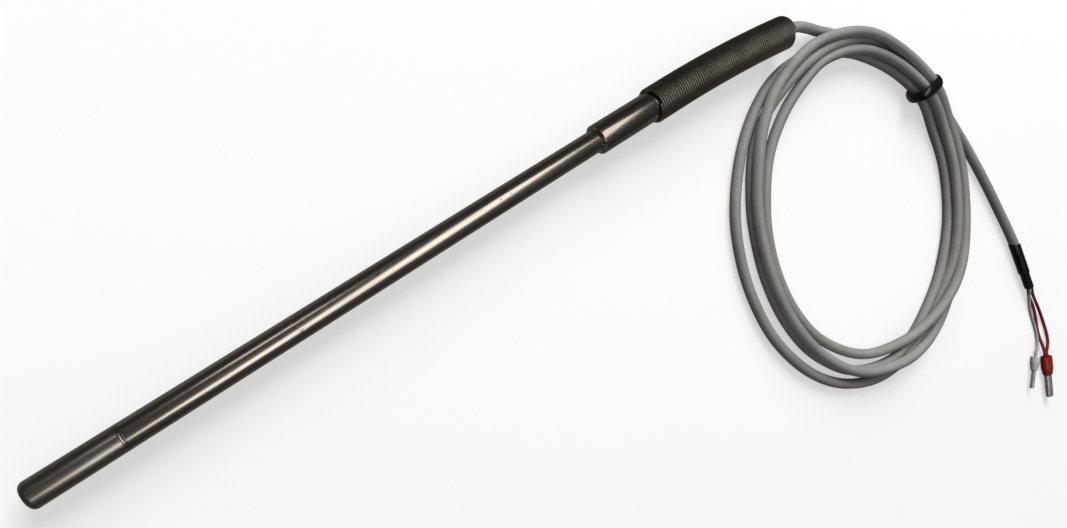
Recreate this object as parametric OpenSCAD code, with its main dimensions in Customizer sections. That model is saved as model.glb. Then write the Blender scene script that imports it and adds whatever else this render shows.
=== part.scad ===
// Cable-type resistance temperature probe: a welded stainless sheath with a
// sensing element in its closed tip, a transition sleeve, a close-wound
// bend-protection spring and a three-core cable, wound into a tied coil and
// ending in crimped ferrules.
//
// +X runs along the sheath from the tip to the cable, +Z is up, and the origin
// is on the sheath's axis at the front face of the transition sleeve.

/* [Sheath] */
// Outer diameter of the sheath
sheath_d = 6; // [5.8:0.1:8]
// Wall thickness of the sheath
sheath_wall = 0.5; // [0.35:0.05:0.6]
// Length of the sheath from the tip to the sleeve's front face
sheath_len = 144; // [100:1:400]
// How far the sheath goes into the sleeve
sheath_socket = 7; // [4:0.5:9]
// How much the sheath's end is turned down where it goes into the sleeve
seat_step = 0.2; // [0.18:0.01:0.25]
// Length of the closed tip section
tip_len = 19; // [15:0.5:24]
// Thickness of the tip's end wall
tip_end_wall = 1.4; // [1:0.1:2.4]
// Rounding of the tip's edge
tip_edge_r = 1.3; // [0.5:0.1:1.6]
// Width of the seam that joins the tip section to the sheath
seam_w = 0.8; // [0.5:0.1:1.5]
// How far the seam stands proud of the sheath
seam_rise = 0.04; // [0.02:0.01:0.1]

/* [Sensing element] */
// Diameter of the ceramic element
element_d = 2.8; // [2:0.1:3]
// Length of the ceramic element
element_len = 12; // [8:0.5:13]
// Diameter of the element's leads
lead_d = 0.3; // [0.2:0.05:0.4]
// Distance between the two leads
lead_pitch = 1.2; // [0.9:0.1:1.5]
// Length of the leads outside the ceramic
lead_len = 8.5; // [8:0.5:14]
// Length of each splice
splice_len = 5; // [3:0.5:7]
// Diameter of the splice that joins both red cores
splice_red_d = 2; // [1.8:0.1:2.1]
// Diameter of the white core's splice
splice_white_d = 1.2; // [1:0.1:1.3]
// Wall of the insulating sleeve over the splices
insulation_wall = 0.15; // [0.1:0.05:0.2]

/* [Sleeve] */
// Wall of the transition sleeve over the sheath
sleeve_wall = 1; // [0.8:0.05:1.6]
// Visible length of the sleeve
sleeve_len = 19; // [15:0.5:30]
// Length of the sleeve's end that goes into the spring
spigot_len = 8; // [5:0.5:12]
// How much that end stands proud of the sleeve, as the spring's seat
seat_rise = 0.16; // [0.16:0.01:0.4]
// Length of the relief groove between the sleeve and the spring's seat
relief_len = 1.4; // [0.5:0.1:3]
// Depth of the relief groove
relief_step = 0.2; // [0.18:0.01:0.5]
// Chamfer on the sleeve's front edge
sleeve_chamfer = 0.3; // [0.1:0.05:0.5]
// Size of the weld that fills the chamfered edge of the sleeve's bore
weld_size = 0.65; // [0.4:0.05:0.75]
// Where the cable's jacket ends inside the sleeve
jacket_start = 12; // [10:0.5:12.5]
// Length of the crimp ring on the jacket
crimp_len = 4; // [2:0.5:5]
// Wall of the crimp ring
crimp_wall = 0.5; // [0.3:0.05:0.6]

/* [Spring] */
// Clearance between the spring and its seat
spring_fit = 0.05; // [0.03:0.01:0.2]
// Wire diameter of the spring
wire_d = 0.8; // [0.6:0.05:1.5]
// Length of the spring
spring_len = 54; // [45:0.5:58]
// How many degrees the spring bends along its free length
spring_bend = 6; // [1:1:20]

/* [Cable] */
// Diameter of the cable's jacket
cable_d = 3.3; // [2.8:0.1:4]
// Diameter of each insulated core
core_d = 1.1; // [0.9:0.05:1.15]
// Short half axis of the coil's inner edge
coil_in_a = 39; // [35:0.5:44]
// Long half axis of the coil's inner edge
coil_in_b = 45.5; // [40:0.5:50]
// Short half axis of the coil's outer edge
coil_out_a = 54.5; // [54:0.5:60]
// Long half axis of the coil's outer edge
coil_out_b = 56; // [55.5:0.5:62]
// Height of the coil
coil_h = 7; // [6:0.1:9]
// Width of the rubber ring round the coil
ring_w = 2.8; // [1.5:0.1:4]
// Thickness of the rubber ring
ring_t = 1.6; // [0.8:0.1:2.2]

/* [Cable end] */
// Length of the heat-shrink over the jacket
shrink_wide = 12.5; // [8:0.5:16]
// Length of the heat-shrink over the cores
shrink_narrow = 6; // [4:0.5:8]
// Wall of the heat-shrink
shrink_wall = 0.22; // [0.15:0.01:0.3]
// Length of the white collar
white_collar_len = 5.2; // [4:0.1:7]
// Diameter of the white collar's mouth
white_collar_d = 3.2; // [2.6:0.1:3.6]
// Length of the white core's pin
white_pin_len = 6.6; // [6:0.1:10]
// Diameter of the white core's pin
white_pin_d = 1.5; // [1.3:0.1:1.8]
// Length of the red twin collar
red_collar_len = 7.2; // [5:0.1:9]
// Width of the red twin collar's mouth
red_collar_w = 4.8; // [4.6:0.1:6]
// Height of the red twin collar's mouth
red_collar_h = 3.2; // [2.8:0.1:4]
// Length of the red cores' shared pin
red_pin_len = 8.4; // [7:0.1:12]
// Width of that pin, pressed oval
red_pin_w = 3.2; // [2.8:0.1:3.4]
// Height of that pin
red_pin_h = 1.9; // [1.7:0.1:2.2]
// Wall of both pins
pin_wall = 0.2; // [0.15:0.01:0.3]

/* [Hidden] */
$fn = 64;

// Clearance of a close fit, and of parts that only lie beside each other
fit = 0.02;
gap = 0.1;

sheath_r = sheath_d / 2;
sheath_in_r = sheath_r - sheath_wall;
tip_x = -sheath_len;
seam_x = tip_x + tip_len;

// Element, leads and splices, in line towards the cable
element_x = tip_x + tip_end_wall + 1;
lead_x = element_x + element_len;
splice_x = lead_x + lead_len;
core_x = splice_x + splice_len;
lead_y = lead_pitch / 2;
splice_red_y = splice_red_d / 2 + gap / 2;
splice_white_y = -splice_white_d / 2 - 0.3;
insulation_r = sheath_in_r - gap;
paste_end = seam_x - 1;

// Places of the three cores across the cable: two red ones and a white one
core_y = core_d / 2 - 0.05;
core_z = core_d / 2 + 0.01;

// The sleeve's bore is a socket for the sheath's turned end, then a step smaller
seat_r = sheath_r - seat_step;
socket_r = seat_r + fit;
sleeve_bore_r = seat_r - 0.15;
sleeve_r = sheath_r + sleeve_wall;
relief_r = sleeve_r - relief_step;
spigot_r = sleeve_r + seat_rise;
sleeve_end = sleeve_len + spigot_len;
crimp_x = jacket_start + 1;
cable_r = cable_d / 2;
crimp_r = cable_r + fit + crimp_wall;

// The spring lies straight on the spigot and then bends towards -Y
wire_sides = 6;
wire_r = wire_d / 2;
// The wire's six-sided section stands with a corner along the spring
wire_mean_r = spigot_r + spring_fit + wire_r * cos(30);
spring_d = 2 * (wire_mean_r + wire_r * cos(30));
spring_x = sleeve_len + gap;
spring_free = spring_len - spigot_len;
bend_r = spring_free / (spring_bend * PI / 180);
bend_x = spring_x + spigot_len;
coil_pitch = wire_d + 0.02;
spring_turns = floor((spring_len - wire_d) / coil_pitch);
steps_per_turn = 12;

// Height of the surface on which the spring, the coil and the cable lie
floor_z = -spring_d / 2;

// Middle and turn of the oval coil, which keeps its distance from the spring,
// and the place of the rubber ring on it
coil_space = 8.5;
coil_c = [79, -coil_out_b - coil_space];
coil_turn = -20;
coil_points = 96;
ring_angle = 24;
ring_r = (coil_in_a + coil_out_a) / 2 + 1.2;
bundle_w = 3 * cable_d;
bundle_h = cable_d * (1 + cos(30)) + gap;

// Routes: each point has X, Y and the lift of the cord above lying on the surface
exit_point = spring_path(spring_len);
exit_heading = [cos(spring_bend), -sin(spring_bend)];
exit_lift = -floor_z - cable_r;
exit_route = [
    [83, -5.2, 2.3], [88, -7.9, 1.1], [93, -10.4, 0.3]
];
tail_route = [
    [133.4, -68.5, 0], [135.2, -76, 0], [136.9, -84, 0], [138.3, -92, 0], [139.5, -100, 0],
    [140.4, -107, 0.1]
];
shrink_start = [141, -114.8];
shrink_r = cable_r + fit + shrink_wall;
shrink_neck_r = core_d * 1.2 + fit + shrink_wall;
shrink_len = shrink_wide + shrink_narrow;
shrink_z = floor_z + shrink_r;
core_start_y = shrink_start[1] - shrink_wide - 0.5;
core_lift = shrink_r - core_d / 2;
core_out_y = shrink_start[1] - shrink_len - 0.5;

red_collar_at = [137.6, -162.2];
red_heading = -110.5;
white_collar_at = [132, -158.6];
white_heading = -131;
red_lift = red_collar_h / 2 - core_d / 2;
// Length over which the red collar narrows, and how much wider than the pin it ends
red_taper = 2.4;
red_neck = 0.6;
white_lift = white_collar_d / 2 - core_d / 2;
white_flare = 0.25;

red_a_route = [
    [141, -137, 0.2], [141.4, -140.5, 0], [141.3, -144, 0], [140.5, -147.6, 0],
    [139.5, -151, 0], [138.8, -154.5, 0.2], [138.4, -157.5, 0.6]
];
red_b_route = [
    [142, -137, 1.1], [142, -140.5, 1.2], [142.5, -144, 1], [143.4, -147.6, 0.4],
    [143.9, -151.4, 0], [143.4, -155, 0.2], [141.6, -158.6, 0.7]
];
white_route = [
    [140, -137, 0.8], [139.4, -140.6, 0.2], [138.9, -144.4, 0], [138.6, -148, 0],
    [138.2, -151.4, 0], [137, -154.4, 0.3], [134.8, -156.6, 0.8]
];

// Turns a shape that is built along Z to lie along X, with its start at x
module along_x(x) {
    translate([x, 0, 0])
        rotate([0, 90, 0])
            children();
}

// Turns a shape that is built along Z to lie along a heading in the XY plane
module along_heading(at, z, heading) {
    translate([at[0], at[1], z])
        rotate([0, 0, heading])
            rotate([90, 0, 90])
                children();
}

module rod(x1, x2, r, y = 0, z = 0) {
    translate([0, y, z])
        along_x(x1)
            cylinder(h = x2 - x1, r = r);
}

module pipe(x1, x2, r_out, r_in) {
    difference() {
        rod(x1, x2, r_out);
        rod(x1 - 1, x2 + 1, r_in);
    }
}

// Flat shape with round ends, w wide and h high
module stadium(w, h) {
    square([w - h, h], center = true);
    for (side = [-1, 1])
        translate([side * (w - h) / 2, 0])
            circle(d = h);
}

// Closed tube along points, with a flat ring at each point
function unit(v) = v / norm(v);
function point_tangent(p, i) =
    unit(p[min(i + 1, len(p) - 1)] - p[max(i - 1, 0)]);
function tube_ring(p, t, r, sides) =
    let (side = unit(cross([0, 0, 1], t)), up = cross(t, side))
    [for (k = [0:sides - 1])
        let (a = 360 * (k + 0.5) / sides)
        p + r * (cos(a) * side + sin(a) * up)];
function tube_faces(rings, sides) = concat(
    [[for (k = [0:sides - 1]) k]],
    [for (i = [0:rings - 2], k = [0:sides - 1])
        let (n = (k + 1) % sides)
        [i * sides + k, (i + 1) * sides + k, (i + 1) * sides + n, i * sides + n]],
    [[for (k = [sides - 1:-1:0]) (rings - 1) * sides + k]]
);

module tube(points, r, sides = 8) {
    rings = [for (i = [0:len(points) - 1])
        for (q = tube_ring(points[i], point_tangent(points, i), r, sides)) q];
    polyhedron(points = rings, faces = tube_faces(len(points), sides), convexity = 6);
}

// A route's points with their true heights, for a cord of radius r
function lifted(route, r) = [for (p = route) [p[0], p[1], floor_z + r + p[2]]];

// Point and heading of the spring's centre line, s along it from the mouth
function spring_angle(s) = s <= spigot_len ? 0 : (s - spigot_len) / bend_r * 180 / PI;
function spring_path(s) =
    let (a = spring_angle(s))
    s <= spigot_len ? [spring_x + s, 0, 0]
        : [bend_x + bend_r * sin(a), -bend_r * (1 - cos(a)), 0];
function wire_ring(i) =
    let (
        turn = i / steps_per_turn,
        s = wire_r + coil_pitch * turn,
        a = spring_angle(s),
        ahead = [cos(a), -sin(a), 0],
        side = [sin(a), cos(a), 0],
        out = cos(360 * turn) * side + sin(360 * turn) * [0, 0, 1]
    )
    [for (k = [0:wire_sides - 1])
        let (u = 360 * (k + 0.5) / wire_sides)
        spring_path(s) + (wire_mean_r + wire_r * cos(u)) * out + wire_r * sin(u) * ahead];

function oval(a, b) = [for (i = [0:coil_points - 1])
    let (t = 360 * i / coil_points)
    [a * cos(t), b * sin(t)]];

module tip_thimble() {
    color("#5b5650")
        along_x(tip_x)
            difference() {
                rotate_extrude() {
                    square([sheath_r - tip_edge_r, tip_len - seam_w / 2]);
                    translate([0, tip_edge_r])
                        square([sheath_r, tip_len - seam_w / 2 - tip_edge_r]);
                    translate([sheath_r - tip_edge_r, tip_edge_r])
                        intersection() {
                            circle(r = tip_edge_r);
                            translate([0, -tip_edge_r])
                                square(tip_edge_r);
                        }
                }
                translate([0, 0, tip_end_wall])
                    cylinder(h = tip_len, r = sheath_in_r);
            }
}

module tip_seam_weld() {
    color("#8d8780")
        pipe(seam_x - seam_w / 2, seam_x + seam_w / 2, sheath_r + seam_rise, sheath_in_r);
}

module sheath_tube() {
    color("#5b5650")
        difference() {
            union() {
                rod(seam_x + seam_w / 2, 0, sheath_r);
                rod(-1, sheath_socket, seat_r);
            }
            rod(seam_x - 1, sheath_socket + 1, sheath_in_r);
        }
}

module sleeve_weld() {
    color("#3c3834")
        along_x(fit)
            rotate_extrude()
                polygon([
                    [socket_r, 0], [socket_r + weld_size - 2 * fit, 0],
                    [socket_r, weld_size - 2 * fit]
                ]);
}

module transition_sleeve() {
    color("#77706a")
        difference() {
            along_x(0)
                rotate_extrude()
                    difference() {
                        union() {
                            square([sleeve_r, sleeve_len]);
                            square([relief_r, sleeve_end]);
                            translate([0, sleeve_len + relief_len])
                                square([spigot_r, spigot_len - relief_len]);
                        }
                        translate([sleeve_r, 0])
                            rotate([0, 0, 45])
                                square(sleeve_chamfer * sqrt(2), center = true);
                    }
            along_x(0)
                rotate_extrude()
                    polygon([
                        [0, -1], [socket_r + weld_size, -1], [socket_r + weld_size, 0],
                        [socket_r, weld_size], [socket_r, sheath_socket + fit],
                        [sleeve_bore_r, sheath_socket + fit], [sleeve_bore_r, sleeve_end + 1],
                        [0, sleeve_end + 1]
                    ]);
        }
}

module pt100_element() {
    color("#efe9dc")
        difference() {
            rod(element_x, lead_x, element_d / 2);
            for (side = [-1, 1])
                rod(lead_x - 2, lead_x + 1, lead_d / 2 + fit, side * lead_y);
        }
}

module element_lead(side) {
    color("#d9d4c8")
        rod(lead_x - 2 + gap, splice_x, lead_d / 2, side * lead_y);
}

module heat_paste() {
    color("#e8e6e0")
        difference() {
            rod(tip_x + tip_end_wall, paste_end, sheath_in_r - fit);
            rod(element_x - fit, lead_x + fit, element_d / 2 + fit);
            for (side = [-1, 1])
                rod(lead_x - 1, paste_end + 1, lead_d / 2 + fit, side * lead_y);
        }
}

module splice_red() {
    color("#b9b4aa")
        rod(splice_x, core_x, splice_red_d / 2, splice_red_y);
}

module splice_white() {
    color("#b9b4aa")
        rod(splice_x, core_x, splice_white_d / 2, splice_white_y);
}

module splice_insulation() {
    color("#e9e2cf")
        pipe(splice_x - 1, core_x + 4, insulation_r, insulation_r - insulation_wall);
}

module inner_core(y, z) {
    rod(core_x, jacket_start, core_d / 2, y, z);
}

module inner_core_holes() {
    for (p = [[core_y, core_z], [core_y, -core_z], [-core_y, 0]])
        rod(0, jacket_start, core_d / 2 + fit, p[0], p[1]);
}

module potting_plug() {
    color("#2f2b28")
        difference() {
            rod(sheath_socket + 2 * fit, sleeve_len, sleeve_bore_r - fit);
            inner_core_holes();
            rod(jacket_start - fit, sleeve_len + 1, cable_r + fit);
            rod(crimp_x - fit, crimp_x + crimp_len + fit, crimp_r + fit);
        }
}

module jacket_crimp_ring() {
    color("#a6a29b")
        pipe(crimp_x, crimp_x + crimp_len, crimp_r, cable_r + fit);
}

module cable_grommet() {
    color("#33302d")
        pipe(sleeve_len + fit, sleeve_end, sleeve_bore_r - fit, cable_r + fit);
}

// The straight jacket from its end in the sleeve to where the spring bends
module cable_in_sleeve() {
    color("#96918b")
        rod(jacket_start, bend_x, cable_r);
}

// The jacket along the spring's bend, to the end of the spring
module cable_in_spring() {
    color("#96918b")
        translate([bend_x, -bend_r, 0])
            rotate([0, 0, 90 - spring_bend])
                rotate_extrude(angle = spring_bend)
                    translate([bend_r, 0])
                        circle(r = cable_r);
}

module bend_spring() {
    rings = spring_turns * steps_per_turn + 1;
    points = [for (i = [0:rings - 1]) for (q = wire_ring(i)) q];
    color("#3f3a35")
        polyhedron(points = points, faces = tube_faces(rings, wire_sides), convexity = 20);
}

module cable_exit() {
    start = [exit_point[0], exit_point[1], exit_lift];
    straight = [start[0] + 5 * exit_heading[0], start[1] + 5 * exit_heading[1], exit_lift];
    color("#96918b")
        tube(lifted(concat([start, straight], exit_route), cable_r), cable_r);
}

// The bundle of turns where the rubber ring holds it, w wide and h high
module at_ring(length, w, h) {
    middle = coil_c + ring_r * [cos(ring_angle), sin(ring_angle)];
    translate([middle[0], middle[1], floor_z + ring_t + bundle_h / 2])
        rotate([0, 0, ring_angle - 6])
            rotate([90, 0, 0])
                translate([0, 0, -length / 2])
                    linear_extrude(length)
                        stadium(w, h);
}

module cable_coil() {
    color("#96918b") {
        difference() {
            translate([coil_c[0], coil_c[1], floor_z])
                rotate([0, 0, coil_turn])
                    linear_extrude(coil_h)
                        difference() {
                            polygon(oval(coil_out_a, coil_out_b));
                            polygon(oval(coil_in_a, coil_in_b));
                        }
            at_ring(ring_w + 4 * gap, 4 * bundle_w, 4 * bundle_h);
        }
        at_ring(ring_w + 10 * gap, bundle_w, bundle_h);
    }
}

module tie_ring() {
    color("#141414")
        difference() {
            at_ring(ring_w, bundle_w + 2 * ring_t, bundle_h + 2 * ring_t);
            at_ring(ring_w + 1, bundle_w + 2 * fit, bundle_h + 2 * fit);
        }
}

module cable_tail() {
    route = lifted(tail_route, cable_r);
    in_shrink = [for (y = [0, shrink_wide / 2, shrink_wide])
        [shrink_start[0], shrink_start[1] - y, shrink_z]];
    color("#96918b")
        tube(concat(route, in_shrink), cable_r);
}

module heat_shrink() {
    color("#161616")
        along_heading(shrink_start, shrink_z, -90)
            difference() {
                union() {
                    cylinder(h = shrink_wide + shrink_wall, r = shrink_r);
                    cylinder(h = shrink_len, r = shrink_neck_r);
                }
                translate([0, 0, -1])
                    cylinder(h = shrink_wide + 1 + fit, r = cable_r + fit);
                cylinder(h = shrink_len + 1, r = shrink_neck_r - shrink_wall);
            }
}

// A core from the end of the jacket, through the neck of the heat-shrink,
// along its route and into its collar
module free_core(dx, dz, route, lift, at, heading, collar_len, side) {
    run_in = [for (y = [core_start_y, core_out_y])
        [shrink_start[0] + dx, y, core_lift + dz]];
    ahead = [cos(heading), sin(heading)];
    across = [-sin(heading), cos(heading)] * side;
    mouth = at + across;
    run_out = [for (s = [-1.5, 0, collar_len - 1])
        [mouth[0] + s * ahead[0], mouth[1] + s * ahead[1], lift]];
    tube(lifted(concat(run_in, route, run_out), core_d / 2), core_d / 2);
}

module white_collar() {
    neck_r = white_pin_d / 2 + 0.45;
    color("#d8d4cf")
        along_heading(white_collar_at, floor_z + white_collar_d / 2, white_heading)
            difference() {
                rotate_extrude()
                    polygon([
                        [0, 0], [white_collar_d / 2 - 0.2, 0], [white_collar_d / 2, 0.3],
                        [white_collar_d / 2, white_collar_len * 0.55], [neck_r, white_collar_len],
                        [0, white_collar_len]
                    ]);
                translate([0, 0, -1])
                    cylinder(h = white_collar_len, r = core_d / 2 + fit);
                cylinder(h = white_collar_len + 1, r = white_pin_d / 2 - pin_wall);
                translate([0, 0, white_collar_len - 1])
                    white_pin_outside(fit);
            }
}

// The pin's outside, with the end in the collar flared like a funnel
module white_pin_outside(margin) {
    cylinder(h = 1, r1 = white_pin_d / 2 + white_flare + margin, r2 = white_pin_d / 2 + margin);
    cylinder(h = white_pin_len + 1, r = white_pin_d / 2 + margin);
}

module white_pin() {
    color("#c9c6c0")
        along_heading(white_collar_at, floor_z + white_collar_d / 2, white_heading)
            translate([0, 0, white_collar_len - 1 + fit])
                difference() {
                    white_pin_outside(0);
                    translate([0, 0, -1])
                        cylinder(h = white_pin_len + 3, r = white_pin_d / 2 - pin_wall);
                }
}

module white_strands() {
    color("#b8764a")
        along_heading(white_collar_at, floor_z + white_collar_d / 2, white_heading)
            translate([0, 0, white_collar_len - 1 + fit])
                cylinder(h = white_pin_len + 1, r = white_pin_d / 2 - pin_wall - fit);
}

// A tapering plate across the collar: w wide at the mouth, w_end at the pin
module taper_limit(w, w_end) {
    rotate([90, 0, 0])
        linear_extrude(2 * red_collar_w, center = true)
            polygon([
                [-w / 2, 0], [w / 2, 0], [w / 2, red_collar_len - red_taper],
                [w_end / 2, red_collar_len], [-w_end / 2, red_collar_len],
                [-w / 2, red_collar_len - red_taper]
            ]);
}

module red_twin_collar() {
    color("#b3150f")
        along_heading(red_collar_at, floor_z + red_collar_h / 2, red_heading)
            difference() {
                intersection() {
                    linear_extrude(red_collar_len)
                        stadium(red_collar_w, red_collar_h);
                    taper_limit(red_collar_w + 1, red_pin_w + red_neck);
                    rotate([0, 0, 90])
                        taper_limit(red_collar_h + 1, red_pin_h + red_neck);
                }
                translate([0, 0, -1])
                    linear_extrude(red_collar_len)
                        stadium(2 * core_d + 4 * fit, core_d + 2 * fit);
                translate([0, 0, red_collar_len - 1])
                    linear_extrude(2)
                        stadium(red_pin_w + 2 * fit, red_pin_h + 2 * fit);
            }
}

module red_twin_pin() {
    color("#c9c6c0")
        along_heading(red_collar_at, floor_z + red_collar_h / 2, red_heading)
            translate([0, 0, red_collar_len - 1 + fit])
                linear_extrude(red_pin_len + 1)
                    difference() {
                        stadium(red_pin_w, red_pin_h);
                        stadium(red_pin_w - 2 * pin_wall, red_pin_h - 2 * pin_wall);
                    }
}

module red_strands() {
    margin = 2 * (pin_wall + fit);
    color("#b8764a")
        along_heading(red_collar_at, floor_z + red_collar_h / 2, red_heading)
            translate([0, 0, red_collar_len - 1 + fit])
                linear_extrude(red_pin_len + 1)
                    stadium(red_pin_w - margin, red_pin_h - margin);
}

module element_lead_red() {
    element_lead(1);
}

module element_lead_white() {
    element_lead(-1);
}

module inner_core_red_a() {
    color("#b3150f")
        inner_core(core_y, core_z);
}

module inner_core_red_b() {
    color("#b3150f")
        inner_core(core_y, -core_z);
}

module inner_core_white() {
    color("#dedad4")
        inner_core(-core_y, 0);
}

module core_red_a() {
    color("#b3150f")
        free_core(0, -core_d * 0.55, red_a_route, red_lift, red_collar_at, red_heading,
            red_collar_len, -core_d / 2 - fit);
}

module core_red_b() {
    color("#b3150f")
        free_core(core_d * 0.5, core_d * 0.45, red_b_route, red_lift, red_collar_at, red_heading,
            red_collar_len, core_d / 2 + fit);
}

module core_white() {
    color("#dedad4")
        free_core(-core_d * 0.55, core_d * 0.4, white_route, white_lift, white_collar_at,
            white_heading, white_collar_len, 0);
}

tip_thimble();
tip_seam_weld();
sheath_tube();
sleeve_weld();
transition_sleeve();
pt100_element();
element_lead_red();
element_lead_white();
heat_paste();
splice_red();
splice_white();
splice_insulation();
inner_core_red_a();
inner_core_red_b();
inner_core_white();
potting_plug();
jacket_crimp_ring();
cable_grommet();
cable_in_sleeve();
cable_in_spring();
bend_spring();
cable_exit();
cable_coil();
cable_tail();
tie_ring();
heat_shrink();
core_red_a();
core_red_b();
core_white();
white_collar();
white_pin();
white_strands();
red_twin_collar();
red_twin_pin();
red_strands();
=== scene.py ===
"""The looks of the cable-type temperature probe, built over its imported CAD."""

import math

import bmesh
import bpy
import numpy as np
from mathutils import Matrix, Vector


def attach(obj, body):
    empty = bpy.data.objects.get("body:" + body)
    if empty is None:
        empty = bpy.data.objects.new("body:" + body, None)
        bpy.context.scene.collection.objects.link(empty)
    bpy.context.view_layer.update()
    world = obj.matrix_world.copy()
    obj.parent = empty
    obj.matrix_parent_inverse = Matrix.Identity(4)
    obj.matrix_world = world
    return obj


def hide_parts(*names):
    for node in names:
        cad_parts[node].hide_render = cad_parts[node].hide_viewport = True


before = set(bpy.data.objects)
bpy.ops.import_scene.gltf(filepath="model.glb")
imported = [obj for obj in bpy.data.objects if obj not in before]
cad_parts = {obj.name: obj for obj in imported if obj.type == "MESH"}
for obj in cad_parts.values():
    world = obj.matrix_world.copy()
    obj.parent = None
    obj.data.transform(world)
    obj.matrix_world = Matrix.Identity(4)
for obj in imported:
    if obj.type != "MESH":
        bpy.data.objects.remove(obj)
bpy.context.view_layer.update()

MM = 0.001
FLOOR_Z = -4.9028  # what the probe lies on, in mm, as every size below
SCENE = bpy.context.scene


# ---------------------------------------------------------------- camera
def set_camera(place, up, ahead, lens):
    """A camera at place, in mm, that looks along ahead."""
    back = -Vector(ahead).normalized()
    right = Vector(up).cross(back).normalized()
    up = back.cross(right)
    data = bpy.data.cameras.new("camera")
    data.sensor_width = 36
    data.lens = lens
    data.clip_start = 0.01
    camera = bpy.data.objects.new("camera", data)
    SCENE.collection.objects.link(camera)
    turn = Matrix((right, up, back)).transposed().to_4x4()
    camera.matrix_world = Matrix.Translation(Vector(place) * MM) @ turn
    SCENE.camera = camera


set_camera(
    (-102.54, 29.76, 168.77),
    (0.5213, 0.8531, -0.0209),
    (0.3752, -0.2511, -0.8923),
    25.98,
)
SCENE.view_settings.view_transform = "Standard"


# ---------------------------------------------------------------- materials
MIX_A, MIX_B, MIX_OUT = 6, 7, 2  # the colour sockets of a Mix node


def link(tree, a, b):
    tree.links.new(a, b)


def value_group(name, inputs, outputs):
    """An empty shader group, with its input and output nodes."""
    tree = bpy.data.node_groups.new(name, "ShaderNodeTree")
    for label, kind, value in inputs:
        socket = tree.interface.new_socket(
            name=label, in_out="INPUT", socket_type=kind
        )
        if value is not None:
            socket.default_value = value
    for label, kind in outputs:
        tree.interface.new_socket(name=label, in_out="OUTPUT", socket_type=kind)
    return (
        tree,
        tree.nodes.new("NodeGroupInput"),
        tree.nodes.new("NodeGroupOutput"),
    )


def stretched_noise(tree, vector, stretch, detail, roughness=0.55):
    """Noise on a vector that is scaled by another one."""
    scaled = tree.nodes.new("ShaderNodeVectorMath")
    scaled.operation = "MULTIPLY"
    link(tree, vector, scaled.inputs[0])
    link(tree, stretch, scaled.inputs[1])
    noise = tree.nodes.new("ShaderNodeTexNoise")
    noise.inputs["Scale"].default_value = 1
    noise.inputs["Detail"].default_value = detail
    noise.inputs["Roughness"].default_value = roughness
    link(tree, scaled.outputs[0], noise.inputs["Vector"])
    return noise


def ramp(tree, value, low, high):
    """Maps value from low..high to 0..1."""
    node = tree.nodes.new("ShaderNodeMapRange")
    link(tree, value, node.inputs["Value"])
    for name, side in (("From Min", low), ("From Max", high)):
        if isinstance(side, (int, float)):
            node.inputs[name].default_value = side
        else:
            link(tree, side, node.inputs[name])
    return node.outputs["Result"]


def make_grain():
    """Fine lines or pits: a height and a mask from stretched noise."""
    tree, into, out = value_group(
        "grain",
        [
            ("Vector", "NodeSocketVector", None),
            ("Stretch", "NodeSocketVector", (100, 3000, 3000)),
        ],
        [("Height", "NodeSocketFloat"), ("Mask", "NodeSocketFloat")],
    )
    noise = stretched_noise(tree, into.outputs["Vector"], into.outputs["Stretch"], 5)
    link(tree, noise.outputs["Fac"], out.inputs["Height"])
    link(tree, ramp(tree, noise.outputs["Fac"], 0.35, 0.65), out.inputs["Mask"])
    return tree


def make_mottle():
    """Soft clouds between two colours."""
    tree, into, out = value_group(
        "mottle",
        [
            ("Vector", "NodeSocketVector", None),
            ("Stretch", "NodeSocketVector", (200, 200, 200)),
            ("Low", "NodeSocketColor", (0.2, 0.2, 0.2, 1)),
            ("High", "NodeSocketColor", (0.3, 0.3, 0.3, 1)),
        ],
        [("Color", "NodeSocketColor"), ("Mask", "NodeSocketFloat")],
    )
    noise = stretched_noise(tree, into.outputs["Vector"], into.outputs["Stretch"], 3)
    mask = ramp(tree, noise.outputs["Fac"], 0.32, 0.68)
    mix = tree.nodes.new("ShaderNodeMix")
    mix.data_type = "RGBA"
    link(tree, mask, mix.inputs["Factor"])
    link(tree, into.outputs["Low"], mix.inputs[MIX_A])
    link(tree, into.outputs["High"], mix.inputs[MIX_B])
    link(tree, mix.outputs[MIX_OUT], out.inputs["Color"])
    link(tree, mask, out.inputs["Mask"])
    return tree


def make_specks():
    """Scattered small specks and scratches laid over a colour."""
    tree, into, out = value_group(
        "specks",
        [
            ("Vector", "NodeSocketVector", None),
            ("Color", "NodeSocketColor", (0.5, 0.5, 0.5, 1)),
            ("Speck", "NodeSocketColor", (0.1, 0.1, 0.1, 1)),
            ("Stretch", "NodeSocketVector", (500, 900, 900)),
            ("Amount", "NodeSocketFloat", 0.5),
        ],
        [("Color", "NodeSocketColor"), ("Mask", "NodeSocketFloat")],
    )
    noise = stretched_noise(
        tree, into.outputs["Vector"], into.outputs["Stretch"], 2, 0.4
    )
    mask = ramp(tree, noise.outputs["Fac"], 0.66, 0.74)
    amount = tree.nodes.new("ShaderNodeMath")
    amount.operation = "MULTIPLY"
    link(tree, mask, amount.inputs[0])
    link(tree, into.outputs["Amount"], amount.inputs[1])
    mix = tree.nodes.new("ShaderNodeMix")
    mix.data_type = "RGBA"
    link(tree, amount.outputs[0], mix.inputs["Factor"])
    link(tree, into.outputs["Color"], mix.inputs[MIX_A])
    link(tree, into.outputs["Speck"], mix.inputs[MIX_B])
    link(tree, mix.outputs[MIX_OUT], out.inputs["Color"])
    link(tree, amount.outputs[0], out.inputs["Mask"])
    return tree


GRAIN, MOTTLE, SPECKS = make_grain(), make_mottle(), make_specks()


def placed_group(tree, group):
    """A shader group, placed in a material."""
    node = tree.nodes.new("ShaderNodeGroup")
    node.node_tree = group
    return node


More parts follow.
